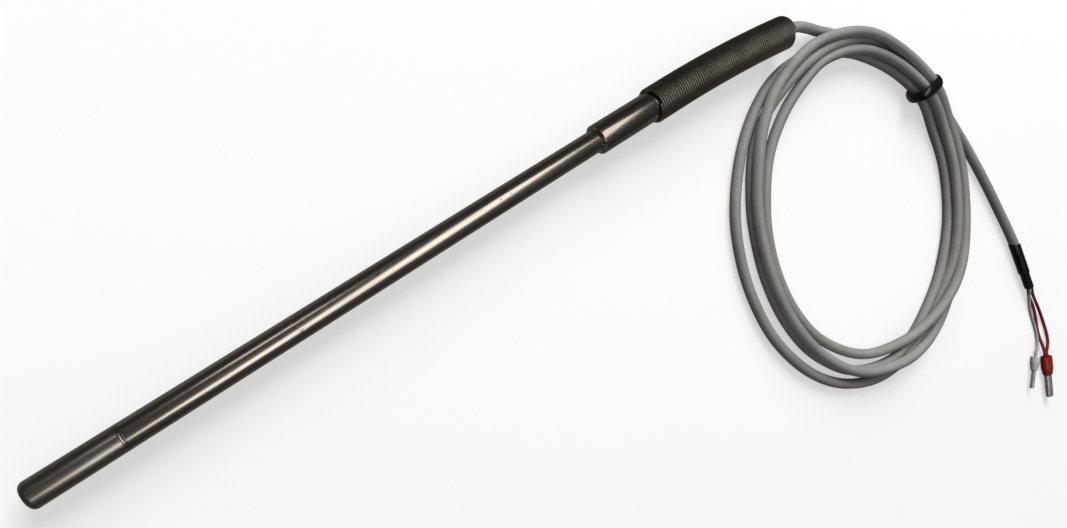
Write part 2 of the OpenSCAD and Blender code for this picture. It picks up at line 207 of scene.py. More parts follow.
def finish(
    name,
    low,
    high,
    rough=(0.3, 0.45),
    metallic=0.0,
    clouds=(200, 200, 200),
    grain=(1500, 1500, 1500),
    bump=0.2,
    depth=0.02,
    speck=None,
    speck_amount=0.5,
    speck_stretch=(500, 900, 900),
    coat=0.0,
    specular=0.5,
):
    """A material with clouds of colour, grain in its bump and roughness, and specks."""
    material = bpy.data.materials.new(name)
    material.use_nodes = True
    tree = material.node_tree
    shader = tree.nodes["Principled BSDF"]
    place = tree.nodes.new("ShaderNodeTexCoord").outputs["Object"]
    mottle = placed_group(tree, MOTTLE)
    mottle.inputs["Stretch"].default_value = clouds
    mottle.inputs["Low"].default_value = (*low, 1)
    mottle.inputs["High"].default_value = (*high, 1)
    link(tree, place, mottle.inputs["Vector"])
    specks = placed_group(tree, SPECKS)
    specks.inputs["Speck"].default_value = (*(speck or low), 1)
    specks.inputs["Amount"].default_value = speck_amount
    specks.inputs["Stretch"].default_value = speck_stretch
    link(tree, place, specks.inputs["Vector"])
    link(tree, mottle.outputs["Color"], specks.inputs["Color"])
    link(tree, specks.outputs["Color"], shader.inputs["Base Color"])
    lines = placed_group(tree, GRAIN)
    lines.inputs["Stretch"].default_value = grain
    link(tree, place, lines.inputs["Vector"])
    roughness = tree.nodes.new("ShaderNodeMapRange")
    roughness.inputs["To Min"].default_value = rough[0]
    roughness.inputs["To Max"].default_value = rough[1]
    link(tree, lines.outputs["Mask"], roughness.inputs["Value"])
    link(tree, roughness.outputs["Result"], shader.inputs["Roughness"])
    relief = tree.nodes.new("ShaderNodeBump")
    relief.inputs["Strength"].default_value = bump
    relief.inputs["Distance"].default_value = depth * MM
    link(tree, lines.outputs["Height"], relief.inputs["Height"])
    link(tree, relief.outputs["Normal"], shader.inputs["Normal"])
    shader.inputs["Metallic"].default_value = metallic
    shader.inputs["Specular IOR Level"].default_value = specular
    if coat:
        shader.inputs["Coat Weight"].default_value = coat
        shader.inputs["Coat Roughness"].default_value = 0.15
    return material


ALONG = (60, 4500, 4500)  # lengthwise lines on what runs along X
STEEL = finish(
    "drawn_steel", (0.5, 0.475, 0.44), (0.62, 0.59, 0.55), (0.19, 0.25), 1.0,
    clouds=(30, 500, 500), grain=ALONG, bump=0.018, depth=0.01,
    speck=(0.14, 0.125, 0.11), speck_amount=0.45,
)
TIP_STEEL = finish(
    "tip_steel", (0.44, 0.43, 0.4), (0.5, 0.49, 0.46), (0.26, 0.33), 1.0,
    clouds=(120, 500, 500), grain=(80, 3500, 3500), bump=0.012, depth=0.01,
    speck=(0.16, 0.14, 0.12), speck_amount=0.35,
)
WELD = finish(
    "weld", (0.3, 0.28, 0.25), (0.62, 0.58, 0.53), (0.12, 0.3), 1.0,
    clouds=(1400, 1400, 1400), grain=(2200, 2200, 2200), bump=0.3, depth=0.05,
)
TURNED = finish(
    "turned_steel", (0.4, 0.375, 0.35), (0.52, 0.49, 0.46), (0.17, 0.25), 1.0,
    clouds=(60, 500, 500), grain=(250, 4000, 4000), bump=0.014, depth=0.01,
    speck=(0.14, 0.12, 0.11), speck_amount=0.35,
)
SPRING = finish(
    "spring_steel", (0.2, 0.186, 0.166), (0.27, 0.252, 0.228), (0.4, 0.5), 1.0,
    clouds=(150, 250, 250), grain=(1800, 1800, 1800), bump=0.04, depth=0.01,
    speck=(0.14, 0.12, 0.1), speck_amount=0.25,
)
JACKET = finish(
    "cable_jacket", (0.275, 0.267, 0.255), (0.325, 0.317, 0.304), (0.42, 0.54),
    clouds=(110, 110, 110), grain=(1100, 1100, 1100), bump=0.25, depth=0.04,
    speck=(0.5, 0.49, 0.47), speck_amount=0.3, speck_stretch=(700, 700, 700),
)
RING = finish(
    "ring_rubber", (0.004, 0.004, 0.004), (0.009, 0.009, 0.009), (0.16, 0.3),
    clouds=(400, 400, 400), grain=(1800, 1800, 1800), bump=0.15, depth=0.04,
    coat=0.4,
)
SHRINK = finish(
    "shrink_film", (0.004, 0.004, 0.004), (0.012, 0.011, 0.011), (0.2, 0.38),
    clouds=(350, 150, 350), grain=(900, 250, 900), bump=0.4, depth=0.12,
)
RED = finish(
    "core_red", (0.2, 0.009, 0.008), (0.28, 0.014, 0.012), (0.34, 0.46),
    clouds=(300, 300, 300), grain=(1800, 1800, 1800), bump=0.15, depth=0.03,
)
WHITE = finish(
    "core_white", (0.4, 0.37, 0.34), (0.5, 0.47, 0.44), (0.34, 0.46),
    clouds=(300, 300, 300), grain=(1800, 1800, 1800), bump=0.15, depth=0.03,
    speck=(0.4, 0.38, 0.34), speck_amount=0.3,
)
COLLAR_RED = finish(
    "collar_red", (0.24, 0.008, 0.006), (0.34, 0.014, 0.01), (0.34, 0.46),
    clouds=(260, 260, 260), grain=(1500, 1500, 1500), bump=0.15, depth=0.03,
)
COLLAR_WHITE = finish(
    "collar_white", (0.5, 0.46, 0.43), (0.6, 0.56, 0.53), (0.3, 0.42),
    clouds=(260, 260, 260), grain=(1500, 1500, 1500), bump=0.15, depth=0.03,
    speck=(0.45, 0.43, 0.4), speck_amount=0.3,
)
TIN = finish(
    "tinned_pin", (0.4, 0.395, 0.385), (0.62, 0.61, 0.6), (0.2, 0.38), 0.6,
    clouds=(600, 600, 600), grain=(1700, 1700, 1700), bump=0.3, depth=0.05,
    speck=(0.1, 0.1, 0.1), speck_amount=0.6,
)
COPPER = finish(
    "strand_copper", (0.5, 0.24, 0.13), (0.72, 0.38, 0.22), (0.25, 0.4), 1.0,
    clouds=(900, 900, 900), grain=(2500, 2500, 2500), bump=0.3, depth=0.04,
)
CERAMIC = finish(
    "element_ceramic", (0.6, 0.59, 0.55), (0.72, 0.71, 0.68), (0.45, 0.6),
    clouds=(500, 500, 500), grain=(2600, 2600, 2600), bump=0.25, depth=0.03,
)
LEAD = finish(
    "lead_metal", (0.55, 0.54, 0.52), (0.7, 0.69, 0.67), (0.2, 0.3), 1.0,
    clouds=(500, 500, 500), grain=ALONG, bump=0.15, depth=0.02,
)
PASTE = finish(
    "heat_paste", (0.5, 0.5, 0.49), (0.66, 0.66, 0.65), (0.6, 0.8),
    clouds=(450, 450, 450), grain=(1600, 1600, 1600), bump=0.5, depth=0.1,
)
BRASS = finish(
    "crimp_metal", (0.36, 0.34, 0.3), (0.5, 0.48, 0.43), (0.28, 0.42), 1.0,
    clouds=(400, 400, 400), grain=(2500, 300, 300), bump=0.25, depth=0.04,
)
FILM = finish(
    "insulation_film", (0.42, 0.2, 0.06), (0.55, 0.28, 0.09), (0.25, 0.4),
    clouds=(300, 300, 300), grain=(400, 2500, 2500), bump=0.2, depth=0.03,
)
RESIN = finish(
    "potting_resin", (0.05, 0.05, 0.055), (0.09, 0.09, 0.095), (0.3, 0.5),
    clouds=(350, 350, 350), grain=(1200, 1200, 1200), bump=0.35, depth=0.08,
)
GROMMET = finish(
    "grommet_rubber", (0.012, 0.012, 0.012), (0.03, 0.03, 0.03), (0.5, 0.65),
    clouds=(400, 400, 400), grain=(1800, 1800, 1800), bump=0.3, depth=0.05,
)


# ---------------------------------------------------------------- cords
def even(line, step):
    """The same line, cut into even steps."""
    run = np.linalg.norm(np.diff(line, axis=0), axis=1)
    reach = np.concatenate([[0], np.cumsum(run)])
    count = max(2, round(reach[-1] / step))
    at = np.linspace(0, reach[-1], count + 1)
    return np.stack([np.interp(at, reach, line[:, k]) for k in range(3)], axis=1)


def through(points, step):
    """A smooth line through the points."""
    p = np.array(points, float)
    p = np.vstack([2 * p[0] - p[1], p, 2 * p[-1] - p[-2]])
    run = np.sqrt(np.linalg.norm(np.diff(p, axis=0), axis=1))
    t = np.concatenate([[0], np.cumsum(run)])
    parts = []
    for i in range(1, len(p) - 2):
        u = np.linspace(t[i], t[i + 1], 20, endpoint=False)[:, None]
        a = [
            ((t[k + 1] - u) * p[k] + (u - t[k]) * p[k + 1]) / (t[k + 1] - t[k])
            for k in (i - 1, i, i + 1)
        ]
        b = [
            ((t[i + 1 + k] - u) * a[k] + (u - t[i - 1 + k]) * a[k + 1])
            / (t[i + 1 + k] - t[i - 1 + k])
            for k in (0, 1)
        ]
        parts.append(
            ((t[i + 1] - u) * b[0] + (u - t[i]) * b[1]) / (t[i + 1] - t[i])
        )
    return even(np.vstack(parts + [p[-2][None]]), step)


def add_cord(name, line, radius, material):
    """A round cord along a line, in mm."""
    data = bpy.data.curves.new(name, "CURVE")
    data.dimensions = "3D"
    data.bevel_depth = radius * MM
    data.bevel_resolution = 5
    data.use_fill_caps = True
    spline = data.splines.new("POLY")
    spline.points.add(len(line) - 1)
    for point, place in zip(spline.points, line):
        point.co = (*(place * MM), 1)
    spline.use_smooth = True
    piece = bpy.data.objects.new(name, data)
    SCENE.collection.objects.link(piece)
    data.materials.append(material)
    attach(piece, "root")
    return piece


CABLE_R = 1.65
LEVEL = 2.9  # how much higher a strand of the coil's upper layer lies
RING_T = 1.6
RING_ANGLE = 27  # where on the coil the rubber ring is
RING_SPREAD = 13  # over how many degrees the coil rises to the ring
COIL_C = np.array([79, -64.5])
COIL_IN_A, COIL_IN_B = 39.2, 45.7  # half axes of the coil's oval inner edge
COIL_TURN = 20  # how far that oval is turned, clockwise
COIL_REACH = 56  # what is further out than this isn't on the coil
# Each turn's stations: angle round the coil in degrees, how many cable widths
# out from the inner edge, and the layer, where 0 lies on the floor
TURN_1 = (
    (60, 1.7, 0), (42, 1.35, 0), (24, 1.25, 0), (8, 1.3, 0), (-10, 1.4, 0),
    (-35, 1.7, 0), (-60, 2.1, 0), (-75, 2.2, 0.1), (-90, 1.75, 0.6),
    (-103, 1.45, 1), (-124, 1.5, 1), (-145, 1.4, 1), (-163, 1.35, 1),
    (-180, 1.35, 1), (-195, 1.45, 1), (-210, 1.65, 1), (-231, 1.95, 1),
    (-240, 2.15, 1), (-250, 2.3, 1), (-265, 2.15, 1),
)
TURN_2 = (
    (84, 2.0, 1), (63, 1.7, 1), (42, 1.6, 1), (24, 1.6, 1), (8, 1.6, 1),
    (-10, 1.75, 1), (-35, 1.7, 1), (-55, 1.4, 1.3), (-70, 0.9, 1.2),
    (-85, 0.35, 0.8), (-100, 0, 0.3), (-120, -0.1, 0), (-145, -0.05, 0),
    (-163, 0, 0), (-180, 0, 0), (-195, 0, 0), (-210, -0.05, 0),
    (-231, 0, 0), (-250, 0.1, 0.3), (-265, 0.45, 0.8),
)
TURN_3 = (
    (84, 0.8, 1), (63, 0.8, 1), (42, 0.75, 1), (24, 0.7, 1), (8, 0.75, 1),
    (-10, 0.7, 1), (-30, 0.6, 1), (-45, 0.7, 0.9), (-60, 0.95, 0.5),
    (-75, 1.1, 0), (-90, 1.6, 0), (-103, 2.1, 0), (-115, 2.5, 0),
    (-130, 2.9, 0), (-145, 3.2, 0), (-163, 3.45, 0), (-180, 3.5, 0),
    (-195, 3.5, 0), (-210, 3.4, 0), (-231, 3.05, 0), (-250, 2.65, 0),
    (-265, 2.0, 0),
)
TURN_4 = (
    (84, 1.1, 0), (75, 0.7, 0), (63, 0.35, 0), (42, 0.2, 0), (24, 0.25, 0),
    (8, 0.2, 0), (-10, 0.3, 0), (-35, 0.2, 0), (-60, 0.05, 0), (-75, 0.1, 0),
    (-90, 0.6, 0), (-103, 1.25, 0), (-124, 1.5, 0), (-145, 1.5, 0),
    (-163, 1.45, 0), (-180, 1.4, 0), (-195, 1.4, 0), (-210, 1.55, 0),
    (-231, 1.8, 0), (-245, 1.65, 0.3), (-260, 1.35, 0.9),
)
TURN_5 = (
    (90, 1.25, 1), (75, 1.4, 0.9), (63, 1.6, 0.5), (42, 2.1, 0),
    (24, 2.15, 0), (15, 2.4, 0),
)


def ring_hump(angle):
    """How far the rubber ring under the coil lifts it at an angle."""
    away = (np.asarray(angle) - RING_ANGLE + 180) % 360 - 180
    return RING_T * np.exp(-((away / RING_SPREAD) ** 2))


def coil_places():
    """Where the cable runs at each station of the coil."""
    places = []
    for stations in (TURN_1, TURN_2, TURN_3, TURN_4, TURN_5):
        for angle, lane, level in stations:
            way = math.radians(angle + COIL_TURN)
            inner = COIL_IN_A * COIL_IN_B / math.hypot(
                COIL_IN_B * math.cos(way), COIL_IN_A * math.sin(way)
            )
            r = inner + CABLE_R + lane * 2 * CABLE_R
            x, y = COIL_C + r * np.array(
                [math.cos(math.radians(angle)), math.sin(math.radians(angle))]
            )
            lift = level * LEVEL + ring_hump(angle)
            places.append((x, y, FLOOR_Z + CABLE_R + float(lift)))
    return places


def lying(route, radius):
    """A route of (x, y, lift) for a cord that lies on the floor where lift is 0."""
    return [(x, y, FLOOR_Z + radius + lift) for x, y, lift in route]


EXIT = (73.016, -2.406, 0)
EXIT_ROUTE = lying(
    ((77.99, -2.93, 3.25), (83, -5.2, 2.3), (88, -7.9, 1.1), (93, -10.4, 0.3)),
    CABLE_R,
)
TAIL_ROUTE = lying(
    (
        (133.4, -68.5, 0), (135.2, -76, 0), (136.9, -84, 0), (138.3, -92, 0),
        (139.5, -100, 0), (140.4, -107, 0.1), (141, -114.8, 0.24),
        (141, -121.05, 0.24), (141, -127.3, 0.24),
    ),
    CABLE_R,
)


def settle(line, gap, rounds):
    """Moves strands that lie in each other apart, and keeps them on the floor."""
    plan = line.copy()
    count = len(line)
    index = np.arange(count)
    hold = np.clip(np.minimum((index - 3) / 8, (count - 16 - index) / 8), 0, 1)
    hold = hold[:, None]
    angle = np.degrees(np.arctan2(line[:, 1] - COIL_C[1], line[:, 0] - COIL_C[0]))
    away = np.hypot(line[:, 0] - COIL_C[0], line[:, 1] - COIL_C[1])
    lowest = FLOOR_Z + CABLE_R + np.where(away < COIL_REACH, ring_hump(angle), 0)
    kernel = np.exp(-((np.arange(-6, 7) / 3.0) ** 2))
    kernel /= kernel.sum()
    pairs = None
    for number in range(rounds):
        if number % 6 == 0:
            far = np.linalg.norm(line[:, None] - line[None], axis=2)
            near = (far < gap * 1.7) & (np.abs(index[:, None] - index) > 12)
            pairs = np.argwhere(np.triu(near))
        a, b = pairs[:, 0], pairs[:, 1]
        apart = line[b] - line[a]
        far = np.maximum(np.linalg.norm(apart, axis=1), 1e-6)
        push = np.maximum(gap - far, 0) * 0.22
        move = apart / far[:, None] * push[:, None]
        shift = np.zeros_like(line)
        np.add.at(shift, a, -move)
        np.add.at(shift, b, move)
        offset = (line + shift * 0.6 - plan) * 0.997
        padded = np.pad(offset, ((6, 6), (0, 0)), mode="edge")
        offset = np.stack(
            [np.convolve(padded[:, k], kernel, "valid") for k in range(3)], axis=1
        )
        line = plan + offset * hold
        line[:, 2] = np.where(
            hold[:, 0] > 0.99, np.maximum(line[:, 2], lowest), line[:, 2]
        )
    return line


cable_line = through([EXIT, *EXIT_ROUTE, *coil_places(), *TAIL_ROUTE], 1.4)
cable_line = settle(cable_line, 2 * CABLE_R - 0.25, 160)
cable = add_cord("cable", cable_line, CABLE_R, JACKET)
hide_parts("cable_exit", "cable_coil", "cable_tail")

CORE_R = 0.55
NECK_X, NECK_START, NECK_END = 141, -131.0, -133.3
SHRINK_Z = 1.89  # height of the shrink's middle over the floor
RED_AT, RED_WAY = (137.6, -162.2), -110.5
WHITE_AT, WHITE_WAY = (132.0, -158.6), -131.0
RED_COLLAR_L, WHITE_COLLAR_L = 7.2, 5.2
COLLAR_Z = FLOOR_Z + 1.6


def run_out(start, heading, length, side):
    """The last points of a core, which run straight into its collar."""
    way = math.radians(heading)
    ahead = np.array([math.cos(way), math.sin(way)])
    across = np.array([-math.sin(way), math.cos(way)])
    return [
        (*(np.array(start) + s * ahead + side * across), COLLAR_Z)
        for s in (-1.5, 0, length - 1)
    ]


def core_line(offset, route, end):
    """A core's line from inside the shrink's neck to inside its collar."""
    x, z = NECK_X + offset[0], FLOOR_Z + SHRINK_Z + offset[1]
    start = [(x, NECK_START, z), (x, -133.8, z)]
    return through(start + lying(route, CORE_R) + end, 0.4)


CORES = (
    (
        "core_red_a", RED, "core_red", (0, -0.605),
        (
            (141, -137, 0.2), (141.4, -140.5, 0), (141.3, -144, 0),
            (140.5, -147.6, 0), (139.5, -151, 0), (138.8, -154.5, 0.2),
            (138.4, -157.5, 0.6),
        ),
        run_out(RED_AT, RED_WAY, RED_COLLAR_L, -0.57),
    ),
    (
        "core_red_b", RED, "core_red", (0.55, 0.495),
        (
            (142, -137, 1.1), (142, -140.5, 1.2), (142.5, -144, 1),
            (143.4, -147.6, 0.4), (143.9, -151.4, 0), (143.4, -155, 0.2),
            (141.6, -158.6, 0.7),
        ),
        run_out(RED_AT, RED_WAY, RED_COLLAR_L, 0.57),
    ),
    (
        "core_white", WHITE, "core_white", (-0.605, 0.44),
        (
            (140, -137, 0.8), (139.4, -140.6, 0.2), (138.9, -144.4, 0),
            (138.6, -148, 0), (138.2, -151.4, 0), (137, -154.4, 0.3),
            (134.8, -156.6, 0.8),
        ),
        run_out(WHITE_AT, WHITE_WAY, WHITE_COLLAR_L, 0),
    ),
)
for name, material, slot, offset, route, end in CORES:
    line = core_line(offset, route, end)
    piece = add_cord(name + "_insulated", line, CORE_R, material)
    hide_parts(name)


# ---------------------------------------------------------------- turned pieces
def rounded(corners, steps=4):
    """A profile of (x, r) points, each with the radius that rounds it."""
    points = []
    for i, (x, r, *fillet) in enumerate(corners):
        here = Vector((x, r))
        if not fillet or not fillet[0] or i in (0, len(corners) - 1):
            points.append(here)
            continue
        before = (Vector(corners[i - 1][:2]) - here).normalized()
        after = (Vector(corners[(i + 1) % len(corners)][:2]) - here).normalized()
        half = before.angle(after) / 2
        cut = fillet[0] / math.tan(half)
        centre = here + (before + after).normalized() * fillet[0] / math.sin(half)
        a, b = here + before * cut - centre, here + after * cut - centre
        for k in range(steps + 1):
            way = a.lerp(b, k / steps).normalized() * fillet[0]
            points.append(centre + way)
    return points


def lathe(profile, steps=96, closed=True):
    """A bmesh of a profile turned about X, in mm."""
    bm = bmesh.new()
    verts = [bm.verts.new((p[0], 0, p[1])) for p in profile]
    for a, b in zip(verts, verts[1:]):
        bm.edges.new((a, b))
    if closed:
        bm.edges.new((verts[-1], verts[0]))
    bmesh.ops.spin(
        bm, geom=list(bm.verts) + list(bm.edges), cent=(0, 0, 0), axis=(1, 0, 0),
        angle=2 * math.pi, steps=steps, use_merge=True,
    )
    bmesh.ops.remove_doubles(bm, verts=bm.verts, dist=1e-4)
    bmesh.ops.recalc_face_normals(bm, faces=bm.faces)
    return bm


def add_piece(name, bm, material, replaced, turn=None, sharp=38):
    """Makes a piece of a bmesh in mm."""
    bm.transform(Matrix.Scale(MM, 4) @ (turn or Matrix()))
    mesh = bpy.data.meshes.new(name)
    for face in bm.faces:
        face.smooth = True
    bm.to_mesh(mesh)
    bm.free()
    mesh.set_sharp_from_angle(angle=math.radians(sharp))
    mesh.materials.append(material)
    piece = bpy.data.objects.new(name, mesh)
    SCENE.collection.objects.link(piece)
    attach(piece, "root")
    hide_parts(*replaced)
    return piece


def wobble(bm, size, scale, seed):
    """Moves each vertex a little along its normal, in smooth waves."""
    draw = np.random.default_rng(seed)
    waves = draw.normal(size=(6, 3)) * scale
    phase = draw.uniform(0, 2 * math.pi, 6)
    bm.normal_update()
    for v in bm.verts:
        h = np.sin(waves @ np.array(v.co) + phase).mean()
        v.co += v.normal * size * float(h)


add_piece(
    "tip_cap",
    lathe(
        rounded(
            [
                (-144, 0), (-144, 3, 1.3), (-125.42, 3, 0.05), (-125.42, 2.5),
                (-142.6, 2.5), (-142.6, 0),
            ],
            8,
        ),
        closed=False,
    ),
    TIP_STEEL, ["tip_thimble"],
)
seam = lathe(
    [
        (-125.4, 2.5), (-125.4, 3.0), (-125.3, 3.035), (-125.2, 3.04),
        (-125.1, 2.985), (-125.0, 2.965), (-124.9, 2.985), (-124.8, 3.04),
        (-124.7, 3.035), (-124.6, 3.0), (-124.6, 2.5),
    ]
)
wobble(seam, 0.012, 1.5, 3)
add_piece("tip_seam", seam, WELD, ["tip_seam_weld"], sharp=80)
add_piece(
    "sheath",
    lathe(
        rounded(
            [
                (-124.58, 2.5), (-124.58, 3, 0.05), (-60, 3), (0.02, 3, 0.02),
                (0.02, 2.8), (7, 2.8), (7, 2.5),
            ]
        )
    ),
    STEEL, ["sheath_tube"],
)
bead = lathe(
    [
        (0.32 + 0.42 * math.cos(w), 3.12 + 0.36 * math.sin(w))
        for w in np.linspace(0, 2 * math.pi, 14, endpoint=False)
    ],
    steps=120,
)
wobble(bead, 0.42, 3.4, 11)
add_piece("sleeve_weld_bead", bead, WELD, ["sleeve_weld"], sharp=80)
add_piece(
    "sleeve",
    lathe(
        rounded(
            [
                (0.95, 2.82), (0, 3.68, 0.05), (0, 4, 0.2), (19, 4, 0.12),
                (19.02, 3.8), (20.4, 3.8), (20.4, 4.16, 0.1), (27, 4.16, 0.2),
                (27, 2.65), (7.02, 2.65), (7.02, 2.82), (0.95, 2.82),
            ]
        )[:-1]
    ),
    TURNED, ["transition_sleeve"],
)


# ---------------------------------------------------------------- spring
BEND_X, BEND_R = 27.1, 439.27
WIRE_R, SPRING_R = 0.405, 4.498
SPRING_START, SPRING_END = 19.1 + WIRE_R, 73.1 - WIRE_R
SPRING_TURNS, TURN_STEPS = 66, 48


def bent(co):
    """A point of the straight spring, moved with its bend."""
    if co.x < BEND_X:
        return co
    way = (co.x - BEND_X) / BEND_R
    return Vector(
        (
            BEND_X + (BEND_R + co.y) * math.sin(way),
            -BEND_R + (BEND_R + co.y) * math.cos(way),
            co.z,
        )
    )


def add_spring():
    bm = bmesh.new()
    stand = Matrix.Translation((SPRING_START, 0, SPRING_R)) @ Matrix.Rotation(
        math.pi / 2, 4, "X"
    )
    bmesh.ops.create_circle(bm, segments=8, radius=WIRE_R, matrix=stand)
    steps = SPRING_TURNS * TURN_STEPS
    bmesh.ops.spin(
        bm, geom=list(bm.verts) + list(bm.edges), cent=(0, 0, 0), axis=(1, 0, 0),
        dvec=((SPRING_END - SPRING_START) / steps, 0, 0),
        angle=2 * math.pi * SPRING_TURNS, steps=steps,
    )
    rim = [edge for edge in bm.edges if edge.is_boundary]
    bmesh.ops.holes_fill(bm, edges=rim, sides=0)
    for v in bm.verts:
        v.co = bent(v.co)
    bmesh.ops.recalc_face_normals(bm, faces=bm.faces)
    return add_piece("spring", bm, SPRING, ["bend_spring"], sharp=70)


add_spring()


# ---------------------------------------------------------------- tie ring
BUNDLE_W, BUNDLE_H = 9.9, 6.26  # the strands that the ring holds together
RING_W = 3.5
RING_R = 46.8  # its distance from the coil's middle
RING_ASKEW = 20
RING_SIDES = 20


def add_ring():
    """A rubber ring that is stretched round the coil's strands."""
    high, long = BUNDLE_H / 2, (BUNDLE_W - BUNDLE_H) / 2
    half_t, half_w = RING_T / 2, RING_W / 2
    bm = bmesh.new()
    for k in range(RING_SIDES):
        way = 2 * math.pi * k / RING_SIDES
        bm.verts.new(
            (half_w * math.cos(way), 0, high + half_t + half_t * math.sin(way))
        )
    bm.verts.ensure_lookup_table()
    for k in range(RING_SIDES):
        bm.edges.new((bm.verts[k], bm.verts[(k + 1) % RING_SIDES]))
    bmesh.ops.spin(
        bm, geom=list(bm.verts) + list(bm.edges), cent=(0, 0, 0), axis=(1, 0, 0),
        angle=2 * math.pi, steps=64, use_merge=True,
    )
    bmesh.ops.remove_doubles(bm, verts=bm.verts, dist=1e-4)
    bmesh.ops.recalc_face_normals(bm, faces=bm.faces)
    for v in bm.verts:
        if abs(v.co.y) > 1e-3:
            v.co.y += math.copysign(long, v.co.y)
    wobble(bm, 0.05, 0.7, 5)
    way = math.radians(RING_ANGLE)
    lean = math.radians(RING_ANGLE - RING_ASKEW)
    middle = Matrix.Translation(
        (
            COIL_C[0] + RING_R * math.cos(way),
            COIL_C[1] + RING_R * math.sin(way),
            FLOOR_Z + RING_T + high,
        )
    )
    turn = middle @ Matrix.Rotation(lean - math.pi / 2, 4, "Z")
    add_piece("rubber_ring", bm, RING, ["tie_ring"], turn, sharp=80)


add_ring()


# ---------------------------------------------------------------- cable end
def along(place, heading):
    """Turns what runs along X to run along a heading, from a place."""
    return Matrix.Translation(place) @ Matrix.Rotation(
        math.radians(heading), 4, "Z"
    )


shrink = lathe(
    rounded(
        [
            (0, 1.68), (0, 1.9, 0.08), (4, 1.9), (8, 1.87), (11.9, 1.9, 0.4),
            (12.9, 1.58, 0.5), (16, 1.55), (18.5, 1.57, 0.1), (18.5, 1.3),
            (13, 1.3), (12.2, 1.66), (0, 1.68),
        ]
    )[:-1],
    steps=64,
)
for v in shrink.verts:
    if v.co.x < 0.5:
        v.co.x += 0.35 * v.co.y
wobble(shrink, 0.06, 0.9, 8)
heat_shrink = add_piece(
    "shrink_sleeve", shrink, SHRINK, ["heat_shrink"],
    along((NECK_X, -114.8, FLOOR_Z + 1.93), -90), sharp=50,
)


def widened(bm, extra):
    """Stretches a turned shape sideways by extra(x), so that it is flat and wide."""
    for v in bm.verts:
        if abs(v.co.y) > 1e-3:
            v.co.y += math.copysign(extra(v.co.x), v.co.y)
    return bm


white_collar = add_piece(
    "white_ferrule_collar",
    lathe(
        rounded(
            [
                (0, 1.3), (0, 1.52, 0.1), (0.8, 1.6), (2.4, 1.58, 1.0),
                (5.2, 1.02, 0.15), (5.2, 0.76), (3.4, 0.76), (1.5, 1.25), (0, 1.3),
            ]
        )[:-1],
        steps=64,
    ),
    COLLAR_WHITE, ["white_collar"],
    along((*WHITE_AT, COLLAR_Z), WHITE_WAY),
)


def white_pin_profile():
    """A small pin with its crimp's teeth pressed in across it."""
    outer = [(5.22, 0.75)]
    for k in range(7):
        x = 5.7 + 0.75 * k
        outer += [
            (x, 0.76), (x + 0.12, 0.66), (x + 0.3, 0.64), (x + 0.42, 0.76),
        ]
    outer += [(11.3, 0.74), (11.8, 0.66), (11.8, 0.5), (11.4, 0.5), (5.22, 0.55)]
    return outer


white_pin = add_piece(
    "white_ferrule_pin", lathe(white_pin_profile(), steps=48),
    TIN, ["white_pin"], along((*WHITE_AT, COLLAR_Z), WHITE_WAY),
)


def red_half_width(x):
    """Half of the twin collar's extra width, which the taper takes away."""
    part = min(max((x - 4.2) / 3.0, 0), 1)
    part = part * part * (3 - 2 * part)
    return 0.8 * (1 - part) + 0.65 * part


red_collar = add_piece(
    "red_ferrule_collar",
    widened(
        lathe(
            rounded(
                [
                    (0, 1.25), (0, 1.5, 0.12), (0.9, 1.6), (4.6, 1.6, 0.8),
                    (7.2, 1.2, 0.2), (7.2, 0.97), (4, 0.97), (2.5, 1.2), (0, 1.25),
                ]
            )[:-1],
            steps=64,
        ),
        red_half_width,
    ),
    COLLAR_RED, ["red_twin_collar"],
    along((*RED_AT, COLLAR_Z), RED_WAY),
)
red_pin = widened(
    lathe(
        rounded(
            [
                (7.22, 0.72), (7.22, 0.95), (9, 0.93), (12, 0.95), (15.6, 0.9, 0.3),
                (15.6, 0.55), (15.2, 0.55), (10, 0.72), (7.22, 0.72),
            ]
        )[:-1],
        steps=72,
    ),
    lambda x: 0.65,
)
for v in red_pin.verts:
    around = math.atan2(v.co.z, v.co.y)
    fold = max(0.0, math.cos(3 * around + 0.4)) ** 3
    press = min(max((v.co.x - 7.8) / 1.0, 0), 1)
    v.co.z *= 1 - 0.16 * fold * press
    v.co.y *= 1 - 0.06 * fold * press
red_pin = add_piece(
    "red_ferrule_pin", red_pin, TIN, ["red_twin_pin"],
    along((*RED_AT, COLLAR_Z), RED_WAY), sharp=50,
)

# ---------------------------------------------------------------- carried-over nodes
KEPT = {
    "pt100_element": CERAMIC,
    "element_lead_red": LEAD,
    "element_lead_white": LEAD,
    "heat_paste": PASTE,
    "splice_red": BRASS,
    "splice_white": BRASS,
    "splice_insulation": FILM,
    "inner_core_red_a": RED,
    "inner_core_red_b": RED,
    "inner_core_white": WHITE,
    "potting_plug": RESIN,
    "jacket_crimp_ring": BRASS,
    "cable_grommet": GROMMET,
    "cable_in_sleeve": JACKET,
    "cable_in_spring": JACKET,
    "white_strands": COPPER,
    "red_strands": COPPER,
}
for name, material in KEPT.items():
    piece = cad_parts[name]
    if not piece.material_slots:
        piece.data.materials.append(material)
    for entry in piece.material_slots:
        entry.material = material


# ---------------------------------------------------------------- floor and light
WARM = (1, 0.93, 0.82)
SOFTBOX_Z = 0.5  # how high the softboxes hang, in m


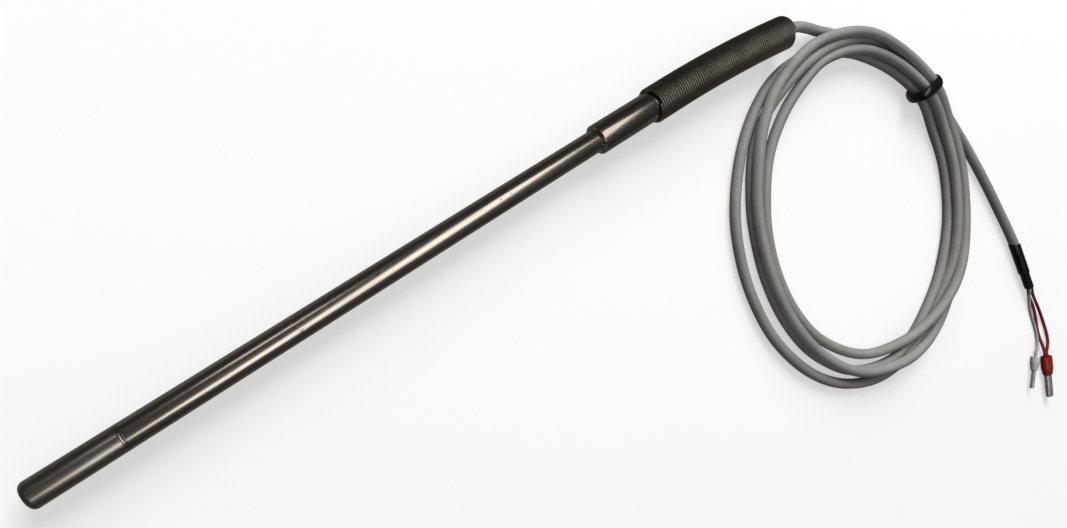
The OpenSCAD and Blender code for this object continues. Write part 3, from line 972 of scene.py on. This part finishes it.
def add_floor():
    bm = bmesh.new()
    bmesh.ops.create_grid(
        bm, x_segments=4, y_segments=4, size=2.5,
        matrix=Matrix.Translation((0, 0, FLOOR_Z * MM)),
    )
    mesh = bpy.data.meshes.new("floor")
    bm.to_mesh(mesh)
    bm.free()
    mesh.materials.append(
        finish(
            "floor", (0.5, 0.5, 0.5), (0.52, 0.52, 0.52), (0.85, 0.95),
            clouds=(3, 3, 3), grain=(300, 300, 300), bump=0.02, specular=0.0,
            speck=(0.5, 0.5, 0.5),
        )
    )
    paper = mesh.materials[0].node_tree.nodes["Principled BSDF"]
    paper.inputs["Emission Color"].default_value = (1, 1, 1, 1)
    paper.inputs["Emission Strength"].default_value = 0.53
    floor = bpy.data.objects.new("floor", mesh)
    SCENE.collection.objects.link(floor)
    floor.visible_glossy = False
    floor.visible_diffuse = False
    return floor


def add_softbox(name, start, end, width, radiance):
    """A level softbox from start to end, which shows only in what shines."""
    a, b = Vector((*start, SOFTBOX_Z)), Vector((*end, SOFTBOX_Z))
    data = bpy.data.lights.new(name, "AREA")
    data.shape = "RECTANGLE"
    data.size = (b - a).length
    data.size_y = width
    data.energy = radiance * math.pi * data.size * width
    data.color = WARM
    lamp = bpy.data.objects.new(name, data)
    SCENE.collection.objects.link(lamp)
    run = b - a
    lamp.matrix_world = Matrix.Translation((a + b) / 2) @ Matrix.Rotation(
        math.atan2(run.y, run.x), 4, "Z"
    )
    lamp.visible_diffuse = False
    return lamp


def add_key(place, aim, size, radiance):
    """The main soft light, which shows in nothing that shines."""
    data = bpy.data.lights.new("key", "AREA")
    data.shape = "SQUARE"
    data.size = size
    data.energy = radiance * math.pi * size * size
    lamp = bpy.data.objects.new("key", data)
    SCENE.collection.objects.link(lamp)
    back = (Vector(place) - Vector(aim)).normalized()
    lamp.matrix_world = (
        Matrix.Translation(place) @ back.to_track_quat("Z", "Y").to_matrix().to_4x4()
    )
    lamp.visible_glossy = False
    return lamp


staged = [
    add_floor(),
    add_key((0.56, 0.88, 0.68), (0.03, -0.06, 0), 0.85, 8.4),
    add_softbox("streak_a", (-0.25, -0.325), (0.03, -0.11), 0.24, 1.9),
    add_softbox("streak_b", (0.03, -0.11), (0.36, 0.34), 0.24, 2.0),
    add_softbox("second", (-0.105, 0.45), (-0.105, 0.68), 0.2, 1.3),
]


def set_world():
    """Pale to the eye, soft as light, and dark in what shines."""
    world = bpy.data.worlds.new("studio")
    world.use_nodes = True
    SCENE.world = world
    tree = world.node_tree
    tree.nodes.clear()
    path = tree.nodes.new("ShaderNodeLightPath")
    where = tree.nodes.new("ShaderNodeTexCoord")
    split = tree.nodes.new("ShaderNodeSeparateXYZ")
    link(tree, where.outputs["Generated"], split.inputs[0])
    shade = tree.nodes.new("ShaderNodeValToRGB")
    marks = shade.color_ramp.elements
    marks[0].position, marks[0].color = 0.0, (0.2, 0.19, 0.17, 1)
    marks[1].position, marks[1].color = 1.0, (0.06, 0.057, 0.052, 1)
    middle = marks.new(0.5)
    middle.color = (0.02, 0.02, 0.02, 1)
    link(tree, ramp(tree, split.outputs["Z"], -1, 1), shade.inputs["Fac"])
    output = tree.nodes.new("ShaderNodeOutputWorld")

    def background(strength):
        node = tree.nodes.new("ShaderNodeBackground")
        node.inputs["Strength"].default_value = strength
        return node

    shine, soft, seen = background(1), background(0.3), background(0.9)
    link(tree, ramp(tree, split.outputs["Z"], -0.3, 0.5), soft.inputs["Color"])
    seen.inputs["Color"].default_value = (1, 1, 1, 1)
    link(tree, shade.outputs["Color"], shine.inputs["Color"])
    first, second = (tree.nodes.new("ShaderNodeMixShader") for _ in range(2))
    link(tree, path.outputs["Is Glossy Ray"], first.inputs[0])
    link(tree, soft.outputs[0], first.inputs[1])
    link(tree, shine.outputs[0], first.inputs[2])
    link(tree, path.outputs["Is Camera Ray"], second.inputs[0])
    link(tree, first.outputs[0], second.inputs[1])
    link(tree, seen.outputs[0], second.inputs[2])
    link(tree, second.outputs[0], output.inputs["Surface"])


set_world()
